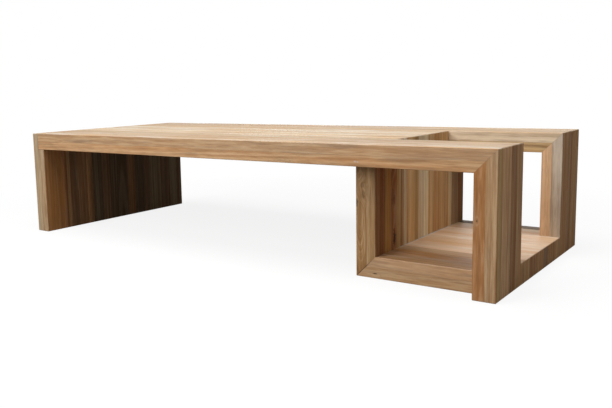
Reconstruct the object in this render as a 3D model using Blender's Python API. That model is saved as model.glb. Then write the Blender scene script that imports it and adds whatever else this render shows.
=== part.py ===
"""Low bench of laminated reclaimed teak: waterfall corners, and a low open box at its right end.

X runs along the bench, Y from its front to its back and Z up. The origin is on the floor at the
middle of the bench. Every slab is two layers glued face to face: one of separate staves, and one
of boards glued up from such staves, whose joints are scored lines. Slabs meet in mitres with
loose tongues, but the left leg's outer layer laps the end of the top. The shelf's face turns down
over its right end. The box's margin boards end in stub tenons, under the rails and behind the legs.
"""

import math
import random
from collections import namedtuple
from itertools import groupby

import bmesh
import bpy
from mathutils import Matrix, Vector

# Overall sizes in metres
LENGTH = 1.90
DEPTH = 0.80
HEIGHT = 0.40

# One layer of staves, two of which make a slab
LAYER = 0.032

# Each rail that passes the box and turns down into a right leg
RAIL_WIDTH = 0.20

# Box at the right end, from its divider's left face to the bench's end, and its step back
# from the front and back faces
BOX_LENGTH = 0.44
BOX_SETBACK = 0.06

# Number of staves across a rail, the field between the rails, and a margin of the box
RAIL_STAVE_COUNT = 3
FIELD_STAVE_COUNT = 4
MARGIN_STAVE_COUNT = 2

# How far a stave's share of the width may vary from an even share
WIDTH_SPREAD = 0.40

# Loose tongue in each corner: its thickness, the wood between it and the glue line of the two
# layers, and how far it stops short of a visible face
TONGUE_THICKNESS = 0.008
TONGUE_COVER = 0.002
TONGUE_STOP = 0.035

# Stub tenon on each margin board of the box, and the shoulder all round it
TENON_LENGTH = 0.014
TENON_SHOULDER = 0.010

# Eased arris on every visible edge, scored line between the staves of a board, and the
# thickness of a glue line or of a sliding fit
EASE = 0.0015
SCORE_WIDTH = 0.0008
SCORE_DEPTH = 0.0004
GLUE_LINE = 0.0003

# Sizes that follow from those above
SLAB = 2 * LAYER
LEFT = -LENGTH / 2
RIGHT = LENGTH / 2
FRONT = -DEPTH / 2
BACK = DEPTH / 2
DIVIDER_LEFT = RIGHT - BOX_LENGTH
NOTCH = DIVIDER_LEFT + SLAB
RAIL_INSIDE = DEPTH / 2 - RAIL_WIDTH
BOX_SIDE = DEPTH / 2 - BOX_SETBACK
TONGUE_DEPTH = 1.5 * LAYER
TONGUE_WIDTH = 2 * math.sqrt(2) * (LAYER / 2 - TONGUE_COVER) - TONGUE_THICKNESS

# The two layers of a slab, as heights above its face: the visible side first
FACE = (0, -LAYER)
BACKING = (-SLAB, -LAYER - GLUE_LINE)

# Ways to finish a stave's end. A face mitre gets shorter away from the face, a back mitre
# gets longer, a square end is glued to another slab, a butt end too but with a stub tenon on
# a board, and a free end shows.
FACE_MITRE = "face mitre"
BACK_MITRE = "back mitre"
SQUARE = "square"
BUTT = "butt"
FREE = "free"

# Stretches along a stave where one of its sides shows
NOWHERE = (math.inf, math.inf)
EVERYWHERE = (-math.inf, math.inf)

# A face looks along an axis when its normal is at least this much of it. An edge between
# flat faces folds less than the first angle, and a mitre's pointed edge more than the second.
FACING_RATIO = 0.9
FLAT_FOLD = math.radians(5)
POINTED_FOLD = math.radians(100)

# Colours of the sawn teak, from bleached to weathered, and of the tongues
TONES = (
    (0.62, 0.44, 0.27),
    (0.50, 0.32, 0.18),
    (0.42, 0.27, 0.16),
    (0.55, 0.38, 0.25),
    (0.34, 0.23, 0.15),
)
TONGUE_TONE = (0.60, 0.46, 0.30)
WOOD_ROUGHNESS = 0.62

# A strip is a part of the bench's depth that one set of staves fills
Strip = namedtuple("Strip", "name low high staves")
FRONT_RAIL = Strip("front rail", FRONT, -RAIL_INSIDE, RAIL_STAVE_COUNT)
FIELD = Strip("field", GLUE_LINE - RAIL_INSIDE, RAIL_INSIDE - GLUE_LINE, FIELD_STAVE_COUNT)
BACK_RAIL = Strip("back rail", RAIL_INSIDE, BACK, RAIL_STAVE_COUNT)
FRONT_MARGIN = Strip("front margin", -BOX_SIDE, -RAIL_INSIDE, MARGIN_STAVE_COUNT)
BACK_MARGIN = Strip("back margin", RAIL_INSIDE, BOX_SIDE, MARGIN_STAVE_COUNT)

# The two ends that staves have, and a zone: a strip of one slab whose staves all have them
Ends = namedtuple("Ends", "start start_cut finish finish_cut")
Zone = namedtuple("Zone", "strip ends shows_low shows_high")


def clear_scene():
    """Remove what the file opened with."""
    for item in list(bpy.data.objects):
        bpy.data.objects.remove(item, do_unlink=True)


def new_collection(name):
    """Add a collection to the scene."""
    collection = bpy.data.collections.new(name)
    bpy.context.scene.collection.children.link(collection)
    return collection


def wood(name, tone):
    """A matt sawn-wood material."""
    material = bpy.data.materials.new(name)
    material.use_nodes = True
    shader = material.node_tree.nodes["Principled BSDF"]
    shader.inputs["Base Color"].default_value = (*tone, 1)
    shader.inputs["Roughness"].default_value = WOOD_ROUGHNESS
    shader.inputs["Metallic"].default_value = 0
    return material


def add_object(name, solid, collection, parent):
    """Turn a finished solid into a named object."""
    mesh = bpy.data.meshes.new(name)
    solid.to_mesh(mesh)
    solid.free()
    item = bpy.data.objects.new(name, mesh)
    item.parent = parent
    collection.objects.link(item)
    return item


def add_piece(name, solid, collection, parent, tone):
    """Add a piece of wood, with a material of its own."""
    piece = add_object(name, solid, collection, parent)
    piece.data.materials.append(wood(name, tone))
    return piece


def add_cutter(name, solid, cutters, parent):
    """Add a solid that only cuts others."""
    cutter = add_object(name, solid, cutters, parent)
    cutter.hide_render = True
    cutter.display_type = "WIRE"
    return cutter


def block(low, high):
    """A cuboid between two corners."""
    solid = bmesh.new()
    bmesh.ops.create_cube(solid, size=1)
    bmesh.ops.scale(solid, vec=Vector(high) - Vector(low), verts=solid.verts)
    bmesh.ops.translate(solid, vec=(Vector(high) + Vector(low)) / 2, verts=solid.verts)
    return solid


def slice_through(solid, point, normal, **options):
    """Slice a solid along a plane, and give the new edges."""
    everything = [*solid.verts, *solid.edges, *solid.faces]
    cut = bmesh.ops.bisect_plane(
        solid, geom=everything, plane_co=point, plane_no=normal, **options
    )
    return [item for item in cut["geom_cut"] if isinstance(item, bmesh.types.BMEdge)]


def saw(solid, point, normal):
    """Saw off what lies beyond a plane, half a glue line short of it, and close the cut."""
    short = Vector(point) - Vector(normal).normalized() * GLUE_LINE / 2
    rim = slice_through(solid, short, normal, clear_outer=True)
    bmesh.ops.holes_fill(solid, edges=rim)


def rip(strip, layer):
    """Share a strip's width among its staves, unevenly, with a glue line between them."""
    chance = random.Random(f"{strip.name} {'face' if layer == FACE else 'backing'}")
    shares = [chance.uniform(1 - WIDTH_SPREAD, 1 + WIDTH_SPREAD) for _ in range(strip.staves)]
    timber = strip.high - strip.low - GLUE_LINE * (strip.staves - 1)
    staves = []
    start = strip.low
    for share in shares:
        width = timber * share / sum(shares)
        staves.append((start, start + width))
        start += width + GLUE_LINE
    return staves


def blank(low, high, layer, ends):
    """A cuboid for a stave or a board, over-long where an end is still to be mitred."""
    spare = {FACE_MITRE: SLAB, BACK_MITRE: 2 * SLAB}
    start = ends.start - spare.get(ends.start_cut, 0)
    finish = ends.finish + spare.get(ends.finish_cut, 0)
    return block((start, low, min(layer)), (finish, high, max(layer)))


def mitre_ends(solid, ends):
    """Saw the ends that meet another slab in a mitre at forty-five degrees."""
    lean = {FACE_MITRE: -1, BACK_MITRE: 1}
    if ends.start_cut in lean:
        saw(solid, (ends.start, 0, 0), (-1, 0, lean[ends.start_cut]))
    if ends.finish_cut in lean:
        saw(solid, (ends.finish, 0, 0), (1, 0, lean[ends.finish_cut]))


def ease_arrises(solid, layer, ends, shows_low, shows_high):
    """Ease the edges between two visible faces, and the pointed outer edge of each mitre."""
    outward = 1 if layer == FACE else -1

    def shows(face):
        normal = face.normal
        along = face.calc_center_median().x
        if normal.y < -FACING_RATIO:
            return shows_low[0] < along < shows_low[1]
        if normal.y > FACING_RATIO:
            return shows_high[0] < along < shows_high[1]
        if normal.x < -FACING_RATIO:
            return ends.start_cut == FREE
        if normal.x > FACING_RATIO:
            return ends.finish_cut == FREE
        return normal.z * outward > FACING_RATIO

    for limit in {*shows_low, *shows_high}:
        if math.isfinite(limit):
            slice_through(solid, (limit, 0, 0), (1, 0, 0))
    solid.normal_update()
    arrises = []
    for edge in solid.edges:
        first, second = edge.link_faces
        fold = edge.calc_face_angle()
        arris = shows(first) and shows(second) and fold > FLAT_FOLD
        outer_mitre = (shows(first) or shows(second)) and fold > POINTED_FOLD
        if arris or outer_mitre:
            arrises.append(edge)
    bmesh.ops.bevel(solid, geom=arrises, offset=EASE, segments=1, affect="EDGES")


def way_down(vert, straight):
    """The way into the wood from a point on a board's visible side, along its end if it is there."""
    for edge in vert.link_edges:
        way = edge.other_vert(vert).co - vert.co
        if abs(way.y) < SCORE_DEPTH < abs(way.z):
            return way
    return straight


def score(solid, across, layer):
    """Score a fine line along the visible side of a board, where two of its staves are glued."""
    for shift in (-SCORE_WIDTH / 2, 0, SCORE_WIDTH / 2):
        slice_through(solid, (0, across + shift, 0), (0, 1, 0))
    visible, glued = layer
    near = SCORE_WIDTH / 4
    groove = [
        vert
        for vert in solid.verts
        if abs(vert.co.y - across) < near and abs(vert.co.z - visible) < near
    ]
    ways = [way_down(vert, Vector((0, 0, glued - visible))) for vert in groove]
    for vert, way in zip(groove, ways):
        vert.co += way * (SCORE_DEPTH / abs(way.z))


def tenon_end(ends):
    """The place of a butt end, and the direction that its tenon runs in."""
    if ends.start_cut == BUTT:
        return ends.start, -1
    return ends.finish, 1


def draw_tenon(solid, ends):
    """Draw a stub tenon out of a board's butt end, with a shoulder all round it."""
    _, direction = tenon_end(ends)
    solid.normal_update()
    end = [face for face in solid.faces if face.normal.x * direction > FACING_RATIO]
    places = [vert.co for face in end for vert in face.verts]
    low = Vector(map(min, zip(*places))) + Vector((0, TENON_SHOULDER, TENON_SHOULDER))
    high = Vector(map(max, zip(*places))) - Vector((0, TENON_SHOULDER, TENON_SHOULDER))
    base = bmesh.ops.extrude_discrete_faces(solid, faces=end)["faces"]
    corners = [vert for face in base for vert in face.verts]
    for vert in corners:
        vert.co.y = min(max(vert.co.y, low.y), high.y)
        vert.co.z = min(max(vert.co.z, low.z), high.z)
    bmesh.ops.remove_doubles(solid, verts=corners, dist=EASE / 2)
    tip = bmesh.ops.extrude_discrete_faces(solid, faces=base)["faces"]
    corners = [vert for face in tip for vert in face.verts]
    bmesh.ops.translate(solid, vec=(direction * TENON_LENGTH, 0, 0), verts=corners)


def mortise(zone, layer):
    """The hole for a zone's stub tenon, from its shoulder on, with a sliding fit."""
    shoulder, direction = tenon_end(zone.ends)
    tip = shoulder + direction * (TENON_LENGTH + GLUE_LINE)
    rim = TENON_SHOULDER - GLUE_LINE
    low = (min(shoulder, tip), zone.strip.low + rim, min(layer) + rim)
    high = (max(shoulder, tip), zone.strip.high - rim, max(layer) - rim)
    return block(low, high)


def stave(low, high, layer, ends, shows_low, shows_high):
    """One stave: X along it, Y across the bench and Z out of the slab's face."""
    solid = blank(low, high, layer, ends)
    mitre_ends(solid, ends)
    ease_arrises(solid, layer, ends, shows_low, shows_high)
    return solid


def board(zones, layer):
    """One board, as wide as neighbouring zones with the same ends, with a line at each joint."""
    ends = zones[0].ends
    ripped = [pair for zone in zones for pair in rip(zone.strip, layer)]
    solid = stave(
        ripped[0][0], ripped[-1][1], layer, ends, zones[0].shows_low, zones[-1].shows_high
    )
    if BUTT in ends:
        draw_tenon(solid, ends)
    for (_, high), (low, _) in zip(ripped, ripped[1:]):
        score(solid, (high + low) / 2, layer)
    return solid


def zone_staves(zone, layer):
    """Every stave of a zone, from the front to the back."""
    ripped = rip(zone.strip, layer)
    for low, high in ripped:
        shows_low = zone.shows_low if low == ripped[0][0] else NOWHERE
        shows_high = zone.shows_high if high == ripped[-1][1] else NOWHERE
        yield stave(low, high, layer, zone.ends, shows_low, shows_high)


class Bench:
    """The bench as it is put together, with its pieces and what cuts them."""

    def __init__(self):
        self.collection = new_collection("waterfall_bench")
        self.cutters = new_collection("cutters")
        self.root = bpy.data.objects.new("bench", None)
        self.collection.objects.link(self.root)
        self.pieces = []
        self.cuts = []

    def frame(self, name, place, turn):
        """An empty on a slab's face, with X along its staves and Z out of the face."""
        frame = bpy.data.objects.new(f"{name}_frame", None)
        frame.location = place
        frame.rotation_euler = (0, math.radians(turn), 0)
        frame.parent = self.root
        self.collection.objects.link(frame)
        return frame

    def add(self, name, solid, parent):
        """Add a stave or a board, in a tone of its own."""
        tone = random.Random(name).choice(TONES)
        self.pieces.append(add_piece(name, solid, self.collection, parent, tone))

    def lay_slab(self, name, place, turn, zones, board_zones=None, stave_layer=FACE):
        """Lay a slab: a layer of separate staves, and one of boards that may have other ends."""
        frame = self.frame(name, place, turn)
        solids = [solid for zone in zones for solid in zone_staves(zone, stave_layer)]
        digits = len(str(len(solids)))
        for number, solid in enumerate(solids, 1):
            self.add(f"{name}_stave_{number:0{digits}d}", solid, frame)
        board_layer = BACKING if stave_layer == FACE else FACE
        by_ends = groupby(board_zones or zones, key=lambda zone: zone.ends)
        groups = [list(group) for _, group in by_ends]
        parts = ("",) if len(groups) == 1 else ("_front", "_middle", "_back")
        for part, group in zip(parts, groups):
            self.add(f"{name}{part}_board", board(group, board_layer), frame)
            if BUTT in group[0].ends:
                title = f"{name}{part}_mortise"
                hole = mortise(group[0], board_layer)
                self.cuts.append((add_cutter(title, hole, self.cutters, frame), name))

    def lay_tongue(self, name, place, angle, low, high):
        """Lay a loose tongue at a place in X and Z, turned about Y, and cut its groove."""
        size = Vector((TONGUE_WIDTH, high - low - 2 * TONGUE_STOP, TONGUE_THICKNESS))
        room = Vector((1, 1, 1)) * GLUE_LINE
        tongue = block(-size / 2, size / 2)
        groove = block(-size / 2 - room, size / 2 + room)
        piece = add_piece(name, tongue, self.collection, self.root, TONGUE_TONE)
        cutter = add_cutter(f"{name}_groove", groove, self.cutters, self.root)
        self.cuts.append((cutter, name))
        for item in (piece, cutter):
            item.location = (place[0], (low + high) / 2, place[1])
            item.rotation_euler = Matrix.Rotation(angle, 3, "Y").to_euler()

    def lay_mitre_tongue(self, name, corner, inward, low, high):
        """Lay the tongue of a mitre nearer to its inner corner, from its outer corner inward."""
        middle = Vector(corner) + Vector(inward) * TONGUE_DEPTH
        self.lay_tongue(name, middle, math.atan2(*inward), low, high)

    def cut_joints(self):
        """Cut every groove and mortise out of the pieces of other slabs that it reaches."""
        bpy.context.view_layer.update()
        for cutter, owner in self.cuts:
            for piece in self.pieces:
                if not piece.name.startswith(owner) and meet(piece, cutter):
                    boolean = piece.modifiers.new(cutter.name, "BOOLEAN")
                    boolean.operation = "DIFFERENCE"
                    boolean.solver = "EXACT"
                    boolean.object = cutter


def reach(item):
    """The lowest and highest corner of the box round an object, in the bench's frame."""
    corners = [item.matrix_world @ Vector(corner) for corner in item.bound_box]
    return [Vector(map(side, zip(*corners))) for side in (min, max)]


def meet(one, other):
    """Whether the boxes round two objects overlap."""
    one_low, one_high = reach(one)
    other_low, other_high = reach(other)
    return all(
        one_low[axis] < other_high[axis] and other_low[axis] < one_high[axis]
        for axis in range(3)
    )


def lay_top(bench):
    """The top: rails along the whole bench, and the field between them up to the box."""
    lap = LAYER + GLUE_LINE
    rails = Ends(lap, SQUARE, LENGTH, FACE_MITRE)
    field = Ends(lap, SQUARE, NOTCH - LEFT, FACE_MITRE)
    past_notch = (NOTCH - LEFT, math.inf)
    zones = (
        Zone(FRONT_RAIL, rails, EVERYWHERE, past_notch),
        Zone(FIELD, field, NOWHERE, NOWHERE),
        Zone(BACK_RAIL, rails, past_notch, EVERYWHERE),
    )
    bench.lay_slab("top", (LEFT, 0, HEIGHT), 0, zones)


def whole_depth(ends):
    """Zones for a slab as deep as the bench, whose staves all have the same ends."""
    return (
        Zone(FRONT_RAIL, ends, EVERYWHERE, NOWHERE),
        Zone(FIELD, ends, NOWHERE, NOWHERE),
        Zone(BACK_RAIL, ends, NOWHERE, EVERYWHERE),
    )


def lay_left_leg(bench):
    """The left leg: its outer layer laps the end of the top, and its inner staves stop under it."""
    outer = whole_depth(Ends(0, FREE, HEIGHT, FREE))
    inner = whole_depth(Ends(0, FREE, HEIGHT - SLAB - GLUE_LINE, SQUARE))
    bench.lay_slab("left_leg", (LEFT, 0, 0), -90, inner, outer, BACKING)


def lay_right_legs(bench):
    """The two right legs, with their staves running down from the rails."""
    ends = Ends(0, FACE_MITRE, HEIGHT, FREE)
    above_shelf = (-math.inf, HEIGHT - SLAB)
    front = Zone(FRONT_RAIL, ends, EVERYWHERE, above_shelf)
    back = Zone(BACK_RAIL, ends, above_shelf, EVERYWHERE)
    bench.lay_slab("front_leg", (RIGHT, 0, HEIGHT), 90, (front,))
    bench.lay_slab("back_leg", (RIGHT, 0, HEIGHT), 90, (back,))


def lay_divider(bench):
    """The divider: its field is mitred to the top, and its margins stop under the rails."""
    foot = HEIGHT - SLAB
    margin = Ends(SLAB + GLUE_LINE, BUTT, foot, BACK_MITRE)
    field = Ends(0, FACE_MITRE, foot, BACK_MITRE)
    zones = (
        Zone(FRONT_MARGIN, margin, EVERYWHERE, NOWHERE),
        Zone(FIELD, field, NOWHERE, NOWHERE),
        Zone(BACK_MARGIN, margin, NOWHERE, EVERYWHERE),
    )
    bench.lay_slab("divider", (NOTCH, 0, HEIGHT), 90, zones)


def lay_shelf(bench):
    """The shelf: its field ends between the right legs, and its margins stop behind them."""
    end = RIGHT - NOTCH
    margin = Ends(0, BACK_MITRE, end - SLAB - GLUE_LINE, BUTT)
    face = Ends(0, BACK_MITRE, end, FACE_MITRE)
    backing = Ends(0, BACK_MITRE, end - LAYER - GLUE_LINE, SQUARE)
    stave_zones, board_zones = (
        (
            Zone(FRONT_MARGIN, margin, EVERYWHERE, NOWHERE),
            Zone(FIELD, field, NOWHERE, NOWHERE),
            Zone(BACK_MARGIN, margin, NOWHERE, EVERYWHERE),
        )
        for field in (face, backing)
    )
    bench.lay_slab("shelf", (NOTCH, 0, SLAB), 0, stave_zones, board_zones)


def lay_shelf_end(bench):
    """The shelf's face turned down over its right end, between the right legs."""
    frame = bench.frame("shelf_end", (RIGHT, 0, SLAB), 90)
    turned_down = Zone(FIELD, Ends(0, FACE_MITRE, SLAB, FREE), NOWHERE, NOWHERE)
    bench.add("shelf_end_board", board([turned_down], FACE), frame)


def lay_tongues(bench):
    """The loose tongues: the left one in the lapped corner, and one in each mitre of two slabs."""
    bench.lay_tongue("left_tongue", (LEFT + LAYER, HEIGHT - LAYER), 0, FRONT, BACK)
    right = (RIGHT, HEIGHT), (-1, -1)
    bench.lay_mitre_tongue("front_leg_tongue", *right, FRONT, -RAIL_INSIDE)
    bench.lay_mitre_tongue("back_leg_tongue", *right, RAIL_INSIDE, BACK)
    notch = (NOTCH, HEIGHT), (-1, -1)
    bench.lay_mitre_tongue("divider_tongue", *notch, -RAIL_INSIDE, RAIL_INSIDE)
    foot = (DIVIDER_LEFT, 0), (1, 1)
    bench.lay_mitre_tongue("shelf_tongue", *foot, -BOX_SIDE, BOX_SIDE)


clear_scene()
waterfall_bench = Bench()
lay_top(waterfall_bench)
lay_left_leg(waterfall_bench)
lay_right_legs(waterfall_bench)
lay_divider(waterfall_bench)
lay_shelf(waterfall_bench)
lay_shelf_end(waterfall_bench)
lay_tongues(waterfall_bench)
waterfall_bench.cut_joints()
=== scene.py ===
"""Low bench of laminated reclaimed teak, dressed and lit as in a plain studio picture.

Every visible stave and board of the solid model is copied, scored where its wood changes, and
given its own run of grain. X runs along the bench, Y from its front to its back and Z up. All
sizes are in metres. Places across the bench are given from its front face.
"""

import math
import random

import bpy
import numpy as np
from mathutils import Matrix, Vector


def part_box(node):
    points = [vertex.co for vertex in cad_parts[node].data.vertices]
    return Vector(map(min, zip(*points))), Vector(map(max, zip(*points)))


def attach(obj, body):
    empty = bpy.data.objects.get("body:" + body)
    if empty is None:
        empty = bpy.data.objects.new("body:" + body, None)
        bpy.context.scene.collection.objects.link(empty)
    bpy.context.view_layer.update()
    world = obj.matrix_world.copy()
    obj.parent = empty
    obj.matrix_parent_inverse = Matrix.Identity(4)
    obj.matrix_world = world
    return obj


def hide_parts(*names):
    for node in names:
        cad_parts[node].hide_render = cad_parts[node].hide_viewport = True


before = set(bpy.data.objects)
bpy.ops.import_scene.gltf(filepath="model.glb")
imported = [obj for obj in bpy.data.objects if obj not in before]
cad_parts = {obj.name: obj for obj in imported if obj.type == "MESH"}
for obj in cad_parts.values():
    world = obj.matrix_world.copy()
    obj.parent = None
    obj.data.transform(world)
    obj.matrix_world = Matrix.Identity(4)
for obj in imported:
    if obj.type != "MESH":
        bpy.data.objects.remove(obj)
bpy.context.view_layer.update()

# Sizes that the solid model has
LENGTH = 1.90
DEPTH = 0.80
HEIGHT = 0.40
LAYER = 0.032
SLAB = 2 * LAYER
BOX_LENGTH = 0.44
BOX_SETBACK = 0.06
LEFT = -LENGTH / 2
RIGHT = LENGTH / 2
FRONT = -DEPTH / 2
DIVIDER_LEFT = RIGHT - BOX_LENGTH
NOTCH = DIVIDER_LEFT + SLAB

# Scored line between two woods in one stave, and how near to a joint it is left out
SCORE_WIDTH = 0.0006
SCORE_DEPTH = 0.0003
JOINT_ROOM = 0.006

# How far in front of and behind its place the middle of an edge's face may lie
EDGE_ROOM = 0.001
ARRIS_ROOM = 0.004

# A face looks along an axis when its normal is more than this much of it, and lies flat in a
# slab's side or end when it is more than the second
HALF = 0.5
FLAT = 0.99

# Tones of the old teak as they look in plain light, in display values
TONES = {
    "chalk": (0.90, 0.87, 0.81),
    "ivory": (0.94, 0.88, 0.74),
    "butter": (0.96, 0.875, 0.70),
    "cream": (0.87, 0.80, 0.68),
    "shell": (0.885, 0.795, 0.675),
    "bone": (0.82, 0.75, 0.64),
    "flax": (0.81, 0.74, 0.61),
    "rose": (0.86, 0.72, 0.58),
    "straw": (0.86, 0.72, 0.52),
    "petal": (0.89, 0.77, 0.65),
    "sand": (0.81, 0.68, 0.52),
    "fawn": (0.77, 0.645, 0.47),
    "wheat": (0.80, 0.66, 0.47),
    "oat": (0.78, 0.62, 0.46),
    "honey": (0.835, 0.68, 0.485),
    "gold": (0.79, 0.61, 0.345),
    "ash": (0.72, 0.63, 0.51),
    "reed": (0.70, 0.595, 0.47),
    "drift": (0.66, 0.56, 0.40),
    "brass": (0.72, 0.58, 0.385),
    "pewter": (0.765, 0.705, 0.635),
    "tawny": (0.74, 0.60, 0.45),
    "bronze": (0.68, 0.54, 0.38),
    "copper": (0.71, 0.51, 0.33),
    "ginger": (0.77, 0.585, 0.385),
    "amber": (0.69, 0.49, 0.29),
    "clay": (0.65, 0.49, 0.33),
    "russet": (0.64, 0.435, 0.26),
    "nut": (0.67, 0.52, 0.37),
    "chestnut": (0.59, 0.44, 0.30),
    "umber": (0.51, 0.39, 0.28),
    "smoke": (0.57, 0.485, 0.37),
    "peat": (0.43, 0.355, 0.27),
}

# Where each wood of a layer ends, measured from the front, and its tone.
# First the top's weathered face.
TOP_FACE = (
    (0.0447, "ash"), (0.075, "bronze"), (0.115, "drift"), (0.150, "clay"), (0.224, "drift"),
    (0.247, "tawny"), (0.278, "flax"), (0.3274, "fawn"), (0.360, "flax"), (0.400, "bone"),
    (0.4223, "tawny"), (0.444, "flax"), (0.480, "ash"), (0.5253, "bone"), (0.565, "ash"),
    (0.6635, "brass"), (0.690, "drift"), (0.718, "fawn"), (0.765, "nut"), (0.800, "flax"),
)

# Woods of the top and the shelf that are bleached white in patches
BLEACHED = ("flax", "bone", "ash", "petal", "rose")

# The outer sides of the legs
LEG_FACE = (
    (0.034, "brass"), (0.075, "oat"), (0.103, "oat"), (0.150, "chestnut"), (0.200, "nut"),
    (0.2543, "sand"), (0.3274, "wheat"), (0.4223, "oat"), (0.480, "sand"), (0.565, "tawny"),
    (0.640, "clay"), (0.674, "nut"), (0.718, "chestnut"), (0.765, "clay"), (0.800, "clay"),
)

# The inner sides, which show on the left leg. Their dark woods are darkened further as painted
# shade, for the shade under the top.
LEG_BACKING = (
    (0.087, "amber"), (0.109, "russet"), (0.1252, "clay"), (0.165, "umber"), (0.213, "chestnut"),
    (0.245, "clay"), (0.298, "peat"), (0.340, "umber"), (0.385, "peat"), (0.446, "peat"),
    (0.486, "chestnut"), (0.549, "peat"), (0.589, "umber"), (0.657, "smoke"), (0.718, "umber"),
    (0.765, "smoke"), (0.800, "umber"),
)

# The divider's side in the box. Its woods are paler in the middle, under the open notch: painted
# light where light falls into the box.
DIVIDER_FACE = (
    (0.089, "copper"), (0.120, "russet"), (0.160, "gold"), (0.200, "russet"),
    (0.226, "brass"), (0.247, "clay"), (0.269, "flax"), (0.281, "ginger"), (0.329, "straw"),
    (0.357, "brass"), (0.397, "cream"), (0.431, "ivory"), (0.480, "honey"),
    (0.5253, "ginger"), (0.565, "honey"), (0.603, "honey"), (0.631, "butter"),
    (0.690, "tawny"), (0.740, "clay"),
)

# The shelf's upper side. Its darker woods at the front, under the front rail, and the dark peat
# strip at the back, under the back rail, are painted shadow of the rails.
SHELF_FACE = (
    (0.1316, "clay"), (0.200, "amber"), (0.247, "tawny"), (0.3274, "petal"), (0.4223, "rose"),
    (0.470, "petal"), (0.5253, "rose"), (0.600, "petal"), (0.646, "oat"), (0.690, "sand"),
    (0.740, "peat"),
)

# The undersides
UNDERSIDE = (
    (0.0626, "nut"), (0.1252, "chestnut"), (0.200, "bronze"), (0.250, "nut"), (0.298, "clay"),
    (0.340, "umber"), (0.385, "nut"), (0.453, "chestnut"), (0.500, "nut"), (0.549, "bronze"),
    (0.600, "chestnut"), (0.6748, "nut"), (0.740, "umber"), (0.800, "nut"),
)

# The shelf's end between the right legs
END_FACE = (
    (0.222, "bronze"), (0.252, "clay"), (0.285, "bronze"), (0.340, "chestnut"), (0.383, "nut"),
    (0.4223, "clay"), (0.465, "umber"), (0.500, "clay"), (0.545, "chestnut"), (0.600, "nut"),
)

# How strong the figure is on a front edge, its share of grey stain, and its share of wisps:
# first on plain edges, then on one with a crown
EDGE_FIGURE = (0.52, 0.35, 1)
CROWN_FIGURE = (0.9, 0.25, 0.5)

# How weathered an upper face is whose wood isn't one of the bleached ones
LIGHTLY_WEATHERED = 0.45

# What the figure does to a wood's tone, as shares of its light
LATE_WOOD_TINT = (0.46, 0.34, 0.24)
BLUSH_TINT = (0.97, 0.86, 0.74)

# Colours in and on the wood, in light values
EARLY_WOOD = (0.86, 0.70, 0.47)
GREY_STAIN = (0.16, 0.125, 0.09)
PUTTY = (0.56, 0.54, 0.52)
KNOT_HEART = (0.035, 0.022, 0.014)
OPEN_JOINT = (0.03, 0.02, 0.013)

# The surface of the staves on top and on the shelf, and of all other wood
RUBBED = {"gloss": 0.42, "roughness": 0.42}
DRY = {"gloss": 0.07, "roughness": 0.60}

# Growth rings per metre from the heart, and how far a knot pushes them and they wander
RING_RATE = 130
KNOT_PUSH = 0.02
RING_WANDER = 0.024

# Knots, shakes and dark stains: the middle, the reach along X, Y and Z, and the strength
KNOTS = (
    ((0.897, -0.400, 0.2125), (0.0022, 0.010, 0.0045), 0.7),
    ((0.574, -0.217, 0.102), (0.012, 0.010, 0.034), 0.9),
    ((0.574, -0.222, 0.222), (0.012, 0.013, 0.034), 0.45),
    ((0.572, -0.340, 0.0143), (0.009, 0.010, 0.0026), 0.9),
    ((0.513, -0.340, 0.222), (0.008, 0.010, 0.012), 0.6),
    ((0.535, -0.340, 0.248), (0.008, 0.010, 0.014), 0.35),
    ((0.532, -0.340, 0.275), (0.007, 0.010, 0.010), 0.3),
    ((-0.950, 0.130, 0.150), (0.014, 0.015, 0.032), 0.85),
)
TOP_KNOTS = (
    ((0.180, 0.085, 0.400), (0.030, 0.010, 0.014), 0.6),
    ((-0.560, -0.310, 0.400), (0.026, 0.009, 0.012), 0.5),
    ((-0.330, 0.290, 0.400), (0.026, 0.010, 0.012), 0.6),
)

# Pale filler, in nail holes of the front rail and along the divider's foot
FILLER = (
    ((0.541, -0.400, 0.3510), (0.0045, 0.010, 0.0030), 0.5),
    ((0.550, -0.400, 0.3500), (0.0035, 0.010, 0.0026), 0.5),
    ((0.5755, 0.030, 0.0645), (0.0045, 0.270, 0.0020), 0.8),
)

# How far the floor reaches, how far it lies below the feet, and the world's light on the bench
FLOOR_REACH = 9
FLOOR_GAP = 0.0004
SKY_LIGHT = 0.16


def display(colour):
    """The light values of a colour given in display values."""
    return tuple(
        value / 12.92 if value <= 0.04045 else ((value + 0.055) / 1.055) ** 2.4
        for value in colour
    )


class Wire:
    """What leaves a node. Arithmetic on it adds Math nodes."""

    def __init__(self, nodes, socket):
        self.nodes = nodes
        self.socket = socket

    def math(self, operation, *values):
        return self.nodes.node("ShaderNodeMath", {"operation": operation}, values)

    def __add__(self, other):
        return self.math("ADD", self, other)

    def __radd__(self, other):
        return self.math("ADD", other, self)

    def __sub__(self, other):
        return self.math("SUBTRACT", self, other)

    def __rsub__(self, other):
        return self.math("SUBTRACT", other, self)

    def __mul__(self, other):
        return self.math("MULTIPLY", self, other)

    def __rmul__(self, other):
        return self.math("MULTIPLY", other, self)

    def __truediv__(self, other):
        return self.math("DIVIDE", self, other)

    def __pow__(self, other):
        return self.math("POWER", self, other)

    def __abs__(self):
        return self.math("ABSOLUTE", self)

    def __or__(self, other):
        """The greater of two masks, which covers what either does."""
        return self.math("MAXIMUM", self, other)


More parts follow.
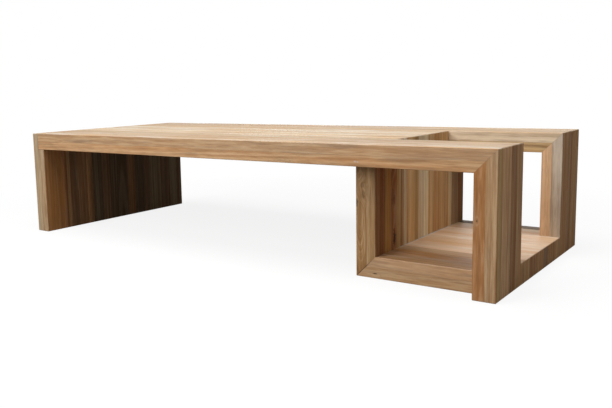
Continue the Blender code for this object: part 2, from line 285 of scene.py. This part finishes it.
class Nodes:
    """The nodes of a material or of the world."""

    def __init__(self, tree):
        self.tree = tree

    def feed(self, socket, value):
        """Give a socket a value or a link."""
        if isinstance(value, Wire):
            self.tree.links.new(value.socket, socket)
        elif isinstance(value, tuple) and len(value) == 3 and socket.type == "RGBA":
            socket.default_value = (*value, 1)
        else:
            socket.default_value = value

    def node(self, kind, settings=None, values=(), output=0):
        """Add a node: its settings first, then its sockets, by place or by name."""
        node = self.tree.nodes.new(kind)
        for setting, value in (settings or {}).items():
            if setting == "stops":
                self.set_stops(node.color_ramp, value)
            else:
                setattr(node, setting, value)
        pairs = values.items() if isinstance(values, dict) else enumerate(values)
        for key, value in pairs:
            self.feed(node.inputs[key], value)
        return Wire(self, node.outputs[output])

    def set_stops(self, ramp, stops):
        """Set a ramp's stops, each a place and a grey level or a colour."""
        while len(ramp.elements) < len(stops):
            ramp.elements.new(1)
        for element, (place, level) in zip(ramp.elements, stops):
            colour = level if isinstance(level, tuple) else (level,) * 3
            element.position = place
            element.color = (*colour, 1)

    def attribute(self, name, output):
        return self.node("ShaderNodeAttribute", {"attribute_name": name}, output=output)

    def apart(self, vector):
        """A vector's three values."""
        first = self.node("ShaderNodeSeparateXYZ", values=(vector,))
        return [Wire(self, output) for output in first.socket.node.outputs]

    def rays(self):
        """What is known of a ray, by name: whether it is a camera ray is 1 or 0."""
        first = self.node("ShaderNodeLightPath")
        return {output.name: Wire(self, output) for output in first.socket.node.outputs}

    def noise(self, vector, stretch, detail=2, roughness=0.5):
        """Noise of a vector whose parts are first multiplied by a stretch."""
        spread = self.node("ShaderNodeVectorMath", {"operation": "MULTIPLY"}, (vector, stretch))
        sizes = {"Vector": spread, "Scale": 1, "Detail": detail, "Roughness": roughness}
        return self.node("ShaderNodeTexNoise", values=sizes)

    def blend(self, share, first, second, way="MIX"):
        """Blend two colours."""
        settings = {"data_type": "RGBA", "blend_type": way}
        return self.node("ShaderNodeMix", settings, {0: share, 6: first, 7: second}, 2)

    def ramp(self, value, *stops):
        return self.node("ShaderNodeValToRGB", {"stops": stops}, (value,))


class Finish(Nodes):
    """A material, for wood or for the floor."""

    def __init__(self, name):
        self.material = bpy.data.materials.new(name)
        self.material.use_nodes = True
        super().__init__(self.material.node_tree)
        self.shader = self.tree.nodes["Principled BSDF"]

    def coat(self, colour, roughness, relief):
        """Feed the shader what changes over the surface."""
        self.feed(self.shader.inputs["Base Color"], colour)
        self.feed(self.shader.inputs["Roughness"], roughness)
        self.feed(self.shader.inputs["Normal"], self.node("ShaderNodeBump", values=relief))


def away_from(finish, mark):
    """How far a point is from a mark's middle, as a share of the mark's reach."""
    middle, reach, _ = mark
    place = finish.node("ShaderNodeTexCoord", output="Object")
    away = finish.node("ShaderNodeVectorMath", {"operation": "SUBTRACT"}, (place, middle))
    away = finish.node("ShaderNodeVectorMath", {"operation": "DIVIDE"}, (away, reach))
    return finish.node("ShaderNodeVectorMath", {"operation": "LENGTH"}, (away,), "Value")


def marks_in(finish, marks):
    """How much of a mark a point is in. The marks have ragged edges."""
    place = finish.node("ShaderNodeTexCoord", output="Object")
    spread = {"Vector": place, "Scale": 130, "Detail": 3}
    ragged = finish.node("ShaderNodeTexNoise", values=spread) - 0.5
    core = 0
    for mark in marks:
        edge = away_from(finish, mark) + ragged * 1.6
        core = core + finish.ramp(edge, (0.45, 1.0), (1.0, 0.0)) * mark[-1]
    return core


def swirl_round(finish, marks):
    """How much the growth rings bend, round all the marks."""
    swirl = 0
    for mark in marks:
        swirl = swirl + finish.ramp(away_from(finish, mark) / 4, (0.0, 1.0), (1.0, 0.0)) ** 2
    return swirl


def foot_mitre(finish):
    """The dark open line of the mitre at the divider's foot, in its outer layer."""
    x, _, z = finish.apart(finish.node("ShaderNodeTexCoord", output="Object"))
    line = finish.ramp(abs(x - z - DIVIDER_LEFT) / 0.002, (0.4, 0.8), (0.9, 0.0))
    return line * finish.ramp((x - DIVIDER_LEFT) / SLAB, (0.55, 1.0), (0.85, 0.0))


def teak(name, knots, bleached, tanned, gloss, roughness):
    """Old teak: growth rings round each stave's heart, streaks, flecks, pores and worn arrises,
    which are also darkened as painted shade.

    A heart's third value says how weathered a face is. Weathered faces have white patches, as
    strong as they are bleached, and golden ones, as strong as they are tanned.
    """
    finish = Finish(name)
    grain = finish.attribute("grain", "Vector")
    along, across, below = finish.apart(grain)
    heart_across, heart_below, weathered = finish.apart(finish.attribute("heart", "Vector"))
    lean_across, lean_below, _ = finish.apart(finish.attribute("lean", "Vector"))
    contrast, grey, wispy = finish.apart(finish.attribute("figure", "Vector"))
    tone = finish.attribute("tone", "Color")
    worn = finish.attribute("worn", "Fac")
    core = marks_in(finish, knots)
    filler = marks_in(finish, FILLER)

    # Growth rings, which wander along the stave and bend round the knots
    wander = finish.noise(grain, (2.6, 13, 13), 3)
    aside = across - heart_across + along * lean_across + (wander - 0.5) * RING_WANDER
    under = below - heart_below + along * lean_below
    radius = (aside * aside + under * under) ** 0.5 + swirl_round(finish, knots) * KNOT_PUSH
    ring_place = radius * RING_RATE + along * 0.5
    ring_values = {"W": ring_place, "Scale": 1, "Detail": 4, "Roughness": 0.7}
    rings = finish.node("ShaderNodeTexNoise", {"noise_dimensions": "1D"}, ring_values)

    # Long streaks, short wisps, flecks, pores, clouds of colour and weathered patches
    streaks = finish.noise(grain, (1.8, 105, 105), 5, 0.66)
    wisps = finish.noise(grain, (9, 130, 130), 4, 0.62)
    lines = streaks + (wisps - streaks) * wispy
    flecks = finish.noise(grain, (14, 260, 260), 2, 0.6)
    pores = finish.noise(grain, (30, 1500, 1500), 2, 0.6)
    blush = finish.noise(grain, (1.3, 24, 24), 2)
    mottle = finish.noise(grain, (13, 60, 60), 3, 0.6)
    stain = finish.noise(grain, (5, 60, 60), 4, 0.6)
    patches = finish.noise(grain, (3.6, 30, 30), 3, 0.6)
    figure = rings * 0.42 + lines * 0.58
    pore_lines = finish.ramp(pores, (0.30, 1.0), (0.46, 0.0))
    fleck_lines = finish.ramp(flecks, (0.27, 1.0), (0.40, 0.0))

    dark = finish.blend(1, tone, LATE_WOOD_TINT, "MULTIPLY")
    red = finish.blend(1, tone, BLUSH_TINT, "MULTIPLY")
    pale = finish.blend(0.45, tone, EARLY_WOOD)
    late_wood = finish.ramp(figure, (0.36, 1.0), (0.44, 0.50), (0.53, 0.0))
    early_wood = finish.ramp(figure, (0.50, 0.0), (0.62, 1.0))
    colour = finish.blend(finish.ramp(blush, (0.42, 0.0), (0.62, 1.0)), tone, red)
    colour = finish.blend(finish.ramp(mottle, (0.35, 0.16), (0.60, 0.0)), colour, dark)
    white_patches = finish.ramp(patches, (0.50, 0.0), (0.60, 1.0)) * weathered * bleached
    tan_patches = finish.ramp(patches, (0.42, 1.0), (0.50, 0.0)) * weathered * tanned
    colour = finish.blend(white_patches, colour, display(TONES["chalk"]))
    colour = finish.blend(tan_patches, colour, display(TONES["gold"]))
    colour = finish.blend(late_wood * contrast, colour, dark)
    colour = finish.blend(early_wood * contrast * 0.7, colour, pale)
    greyed = finish.ramp(stain, (0.50, 0.0), (0.66, 1.0)) * grey
    colour = finish.blend(greyed, colour, GREY_STAIN)
    colour = finish.blend(fleck_lines * 0.4, colour, dark)
    colour = finish.blend(pore_lines * 0.25, colour, dark)
    # Arrises are darkened: painted shade that dims the light their chamfers catch
    colour = finish.blend(worn * 0.25, colour, dark)
    colour = finish.blend(filler, colour, PUTTY)
    colour = finish.blend(core, colour, KNOT_HEART)
    colour = finish.blend(foot_mitre(finish), colour, OPEN_JOINT)
    height = early_wood * 0.25 - pore_lines * 0.5 - fleck_lines * 0.4 - core * 0.6
    relief = {"Strength": 0.4, "Distance": 0.0006, "Height": height}
    roughened = roughness + late_wood * 0.08 + pore_lines * 0.10 - worn * 0.06
    finish.coat(colour, roughened, relief)
    finish.shader.inputs["Specular IOR Level"].default_value = gloss
    return finish.material


class Slab:
    """How a slab's staves run, its woods, its front edges' tones, and how strong its figure is.

    A point's place along and below the slab comes from two functions. The woods, and the tones
    of each front edge, are the face's and then the backing's. A crown is the flame-like figure
    of a flat-sawn board on the backing's front edge. It is given by its tip's place along,
    across and below the slab, and the heart's lean.
    """

    def __init__(self, along, below, woods, edges, figure, crown=None):
        self.along = along
        self.below = below
        self.woods = [sorted(layer) for layer in woods]
        self.edges = edges
        self.figure = figure
        self.crown = crown

    def edge_tone(self, face, backing):
        """The tone of a face that is a front edge of the slab, or else None."""
        across = face.center.y - FRONT
        for place, tones in self.edges:
            if face.normal.y < -HALF and place - EDGE_ROOM < across < place + ARRIS_ROOM:
                return tones[backing]
        return None


SLABS = {
    "top": Slab(
        lambda p: p[:, 0] - LEFT, lambda p: p[:, 2] - HEIGHT, (TOP_FACE, UNDERSIDE),
        edges=((0, ("tawny", "oat")), (0.6, ("shell", "fawn"))), figure=0.9,
    ),
    "left_leg": Slab(
        lambda p: p[:, 2] - HEIGHT, lambda p: LEFT - p[:, 0], (LEG_FACE, LEG_BACKING),
        edges=((0, ("ash", "reed")),), figure=0.35,
    ),
    "front_leg": Slab(
        lambda p: LENGTH + HEIGHT - p[:, 2], lambda p: p[:, 0] - RIGHT, (LEG_FACE, LEG_BACKING),
        edges=((0, ("tawny", "copper")),), figure=0.42,
    ),
    "back_leg": Slab(
        lambda p: LENGTH + HEIGHT - p[:, 2], lambda p: p[:, 0] - RIGHT, (LEG_FACE, LEG_BACKING),
        edges=((0.6, ("pewter", "rose")),), figure=0.42,
    ),
    "divider": Slab(
        lambda p: NOTCH - LEFT + HEIGHT - p[:, 2], lambda p: p[:, 0] - NOTCH,
        (DIVIDER_FACE, LEG_BACKING), edges=((BOX_SETBACK, ("bronze", "bronze")),), figure=0.5,
        crown=(NOTCH - LEFT + HEIGHT - 0.20, BOX_SETBACK, -0.05, 0.16),
    ),
    "shelf_end": Slab(
        lambda p: LENGTH + HEIGHT - p[:, 2], lambda p: p[:, 0] - RIGHT, (END_FACE, END_FACE),
        edges=(), figure=0.4,
    ),
    "shelf": Slab(
        lambda p: p[:, 0] - LEFT + HEIGHT - SLAB, lambda p: p[:, 2] - SLAB,
        (SHELF_FACE, UNDERSIDE), edges=((BOX_SETBACK, ("oat", "tawny")),), figure=0.18,
    ),
}


def select_only(item):
    """Select one object, and nothing else."""
    bpy.ops.object.select_all(action="DESELECT")
    item.select_set(True)
    bpy.context.view_layer.objects.active = item


def copy_node(node, name):
    """A copy of a solid, with its corners merged and its flat faces joined."""
    piece = node.copy()
    piece.data = node.data.copy()
    piece.name = piece.data.name = name
    piece.parent = None
    for key in list(piece.keys()):
        del piece[key]
    bpy.context.scene.collection.objects.link(piece)
    select_only(piece)
    bpy.ops.object.mode_set(mode="EDIT")
    bpy.ops.mesh.select_all(action="SELECT")
    bpy.ops.mesh.remove_doubles(threshold=1e-6)
    bpy.ops.mesh.dissolve_limited(angle_limit=math.radians(0.2))
    bpy.ops.object.mode_set(mode="OBJECT")
    return piece


def cut_line(across):
    """Cut the piece that is being edited, all round, at one place across the bench."""
    bpy.ops.mesh.select_all(action="SELECT")
    bpy.ops.mesh.bisect(plane_co=(0, FRONT + across, 0), plane_no=(0, 1, 0))


def score(piece, slab, across, face_below):
    """Score a fine line along a piece's visible side, where its wood changes."""
    bpy.ops.object.mode_set(mode="EDIT")
    for shift in (-SCORE_WIDTH / 2, 0, SCORE_WIDTH / 2):
        cut_line(across + shift)
    bpy.ops.object.mode_set(mode="OBJECT")
    mesh = piece.data
    places = np.array([vert.co for vert in mesh.vertices])
    near = SCORE_WIDTH / 4
    depth = slab.below(places)
    line = np.abs(places[:, 1] - FRONT - across) < near
    groove = np.flatnonzero(line & (np.abs(depth - face_below) < near))
    ways = {index: None for index in groove}
    for edge in mesh.edges:
        for one, other in (edge.vertices, reversed(edge.vertices)):
            if one in ways and line[other] and abs(depth[other] - depth[one]) > near:
                ways[one] = places[other] - places[one], abs(depth[other] - depth[one])
    for index, way in ways.items():
        if way:
            direction, fall = way
            mesh.vertices[index].co += Vector(direction * min(1, SCORE_DEPTH / fall))


def draw_woods(slab, backing):
    """Draw each wood's own run of grain.

    A wood is where it ends, its tone, its offset, heart, lean and figure, and its shade.
    """
    woods = []
    start = 0
    for finish, tone in slab.woods[backing]:
        chance = random.Random(f"{tone} {finish:.3f} {backing}")
        offset = np.array([chance.uniform(-9, 9) for _ in range(3)])
        heart = (
            (start + finish) / 2 + offset[1] + chance.uniform(-0.06, 0.06),
            offset[2] - chance.uniform(0.01, 0.09),
        )
        lean = (chance.uniform(-0.01, 0.01), chance.uniform(-0.02, 0.02))
        figure = (slab.figure * chance.uniform(0.7, 1.3), chance.uniform(0, 0.4), 0)
        shade = chance.uniform(0.97, 1.03)
        woods.append((finish, tone, offset, heart, lean, figure, shade))
        start = finish
    return woods


def wood_at(woods, across):
    """The wood that fills a place across the bench."""
    return next((wood for wood in woods if across < wood[0]), woods[-1])


def describe(face, slab, backing, wood, is_upper):
    """A face's tone, its heart with how weathered it is, its lean and its figure."""
    _, tone, offset, heart, lean, figure, _ = wood
    weathered = 0
    edge_tone = slab.edge_tone(face, backing)
    if edge_tone:
        tone, figure = edge_tone, EDGE_FIGURE
        if slab.crown and backing:
            tip, place, depth, slope = slab.crown
            heart = (offset[1] + place + slope * (tip + offset[0]), offset[2] + depth)
            lean = (slope, 0)
            figure = CROWN_FIGURE
    if face.normal.z > HALF and is_upper:
        if slab is SLABS["left_leg"]:
            tone = wood_at(TOP_FACE, face.center.y - FRONT)[1]
        weathered = 1 if tone in BLEACHED else LIGHTLY_WEATHERED
    return tone, (*heart, weathered), (*lean, 0), figure


def write_wood(piece, slab, backing):
    """Write the grain, heart, lean, figure, tone, and the arrises' wear and painted shade, of
    every wood in a piece.
    """
    mesh = piece.data
    places = np.array([vert.co for vert in mesh.vertices])
    run = np.stack([slab.along(places), places[:, 1] - FRONT, slab.below(places)], axis=1)
    low, high = run[:, 1].min(), run[:, 1].max()
    rows = {name: [] for name in ("grain", "heart", "lean", "figure", "tone", "worn")}
    woods = draw_woods(slab, backing)
    for face in mesh.polygons:
        middle = min(max(face.center.y - FRONT, low + SCORE_WIDTH), high - SCORE_WIDTH)
        wood = wood_at(woods, middle)
        offset, shade = wood[2], wood[-1]
        depths = slab.below(places[list(face.vertices)])
        is_upper = slab is SLABS["left_leg"] or depths.max() > -2 * SCORE_DEPTH
        tone, heart, lean, figure = describe(face, slab, backing, wood, is_upper)
        normal = [abs(value) for value in face.normal]
        is_flat = max(normal) > FLAT
        is_mitre = normal[1] < 1 - FLAT and abs(normal[0] - math.sqrt(0.5)) < 1 - FLAT
        light = np.array(display(TONES[tone])) * shade
        for vertex in face.vertices:
            rows["grain"].append(run[vertex] + offset)
            rows["heart"].append(heart)
            rows["lean"].append(lean)
            rows["figure"].append(figure)
            rows["tone"].append((*light, 1))
            rows["worn"].append(0 if is_flat or is_mitre else 1)
    kinds = {"tone": ("FLOAT_COLOR", "color"), "worn": ("FLOAT", "value")}
    for name, values in rows.items():
        kind, key = kinds.get(name, ("FLOAT_VECTOR", "vector"))
        attribute = mesh.attributes.new(name, kind, "CORNER")
        attribute.data.foreach_set(key, np.array(values, np.float32).ravel())


def dress(node, slab, backing, material):
    """Dress one solid: a scored copy with its own woods stands for it."""
    piece = copy_node(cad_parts[node], f"teak_{node}")
    low, high = (corner.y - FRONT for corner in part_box(node))
    face_below = -SLAB if backing else 0
    for finish, _ in slab.woods[backing]:
        if low + JOINT_ROOM < finish < high - JOINT_ROOM:
            score(piece, slab, finish, face_below)
    piece.data.materials.clear()
    piece.data.materials.append(material)
    select_only(piece)
    bpy.ops.object.shade_smooth_by_angle(angle=math.radians(20))
    write_wood(piece, slab, backing)
    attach(piece, "root")
    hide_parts(node)


def dress_bench():
    """Dress every stave and board. The tongues are out of sight in their grooves."""
    sawn = teak("reclaimed_teak", KNOTS, bleached=0.7, tanned=0.6, **DRY)
    upper = {
        "top": teak("bleached_teak", TOP_KNOTS, bleached=0.7, tanned=0.7, **RUBBED),
        "shelf": teak("washed_teak", KNOTS, bleached=0.42, tanned=0.12, **RUBBED),
    }
    tongue_finish = tongue_teak()
    for node in sorted(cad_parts):
        if node.endswith("tongue"):
            for material_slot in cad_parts[node].material_slots:
                material_slot.material = tongue_finish
            continue
        name = next(name for name in SLABS if node.startswith(name))
        is_board = node.endswith("board")
        backing = is_board != (name in ("left_leg", "shelf_end"))
        if is_board:
            dress(node, SLABS[name], backing, sawn)
        else:
            slot = "top_teak" if name == "top" else "stave_teak"
            dress(node, SLABS[name], backing, upper.get(name, sawn))


def tongue_teak():
    """Fresh planed teak, with fine straight grain along the bench's depth."""
    finish = Finish("planed_teak")
    place = finish.node("ShaderNodeTexCoord", output="Object")
    streaks = finish.noise(place, (160, 3, 160), 4, 0.6)
    colour = finish.ramp(streaks, (0.3, (0.30, 0.17, 0.08)), (0.7, (0.46, 0.30, 0.16)))
    relief = {"Strength": 0.3, "Distance": 0.0004, "Height": streaks}
    finish.coat(colour, 0.5 + streaks * 0.2, relief)
    return finish.material


def lay_floor():
    """A pale floor that fades into the white backdrop and keeps the bench's shadow."""
    bpy.ops.object.select_all(action="DESELECT")
    bpy.ops.mesh.primitive_circle_add(vertices=96, radius=FLOOR_REACH, fill_type="NGON")
    floor = bpy.context.object
    floor.name = "floor"
    floor.location.z = -FLOOR_GAP
    bpy.ops.object.transform_apply(location=True, rotation=True, scale=True)
    finish = Finish("pale_floor")
    place = finish.node("ShaderNodeTexCoord", output="Object")
    reach = finish.node("ShaderNodeVectorMath", {"operation": "LENGTH"}, (place,), "Value")
    fade = finish.ramp(reach / FLOOR_REACH, (0.10, 0.0), (0.22, 1.0))
    seen = finish.rays()["Is Camera Ray"]
    shown = finish.blend(seen, (0.30, 0.30, 0.30), (0.92, 0.92, 0.92))
    paint = finish.node("ShaderNodeBsdfDiffuse", values={"Color": shown})
    white = finish.node("ShaderNodeEmission", values={"Color": (1, 1, 1), "Strength": 1})
    share = seen * (0.86 + fade * 0.14)
    mixed = finish.node("ShaderNodeMixShader", values=(share, paint, white))
    finish.feed(finish.tree.nodes["Material Output"].inputs["Surface"], mixed)
    floor.data.materials.append(finish.material)


def set_world():
    """A white backdrop, with a softer light of its own on the bench."""
    world = bpy.data.worlds.new("studio")
    bpy.context.scene.world = world
    world.use_nodes = True
    nodes = Nodes(world.node_tree)
    rays = nodes.rays()
    shown = rays["Is Camera Ray"] | rays["Is Glossy Ray"] | rays["Is Transmission Ray"]
    background = nodes.tree.nodes["Background"]
    nodes.feed(background.inputs["Color"], (1, 1, 1))
    nodes.feed(background.inputs["Strength"], SKY_LIGHT + shown * (1 - SKY_LIGHT))


def add_softbox(name, place, target, size, power):
    """A square softbox that looks at a point."""
    light = bpy.data.lights.new(name, "AREA")
    light.shape = "SQUARE"
    light.size = size
    light.energy = power
    softbox = bpy.data.objects.new(name, light)
    softbox.location = place
    direction = Vector(target) - Vector(place)
    softbox.rotation_euler = direction.to_track_quat("-Z", "Y").to_euler()
    bpy.context.scene.collection.objects.link(softbox)


def place_camera():
    """The camera of the photograph, as found from the bench's edges in it."""
    lens = bpy.data.cameras.new("camera")
    lens.sensor_width = 36
    lens.lens = 42.407
    lens.shift_x = 0.07983
    lens.shift_y = -0.03399
    camera = bpy.data.objects.new("camera", lens)
    camera.location = (1.55062, -2.19078, 0.57055)
    camera.rotation_euler = (1.43647, 0.02406, 0.64614)
    bpy.context.scene.collection.objects.link(camera)
    bpy.context.scene.camera = camera


dress_bench()
lay_floor()
set_world()
add_softbox("overhead_light", place=(0.0, -0.9, 3.2), target=(0.0, -0.3, 0), size=2.6, power=98)
add_softbox("front_light", place=(-0.9, -3.3, 2.1), target=(0, 0, 0.2), size=2.0, power=80)
add_softbox("side_light", place=(3.2, 0.1, 2.4), target=(0.6, 0, 0.2), size=1.6, power=19)
place_camera()
bpy.context.scene.view_settings.view_transform = "Standard"
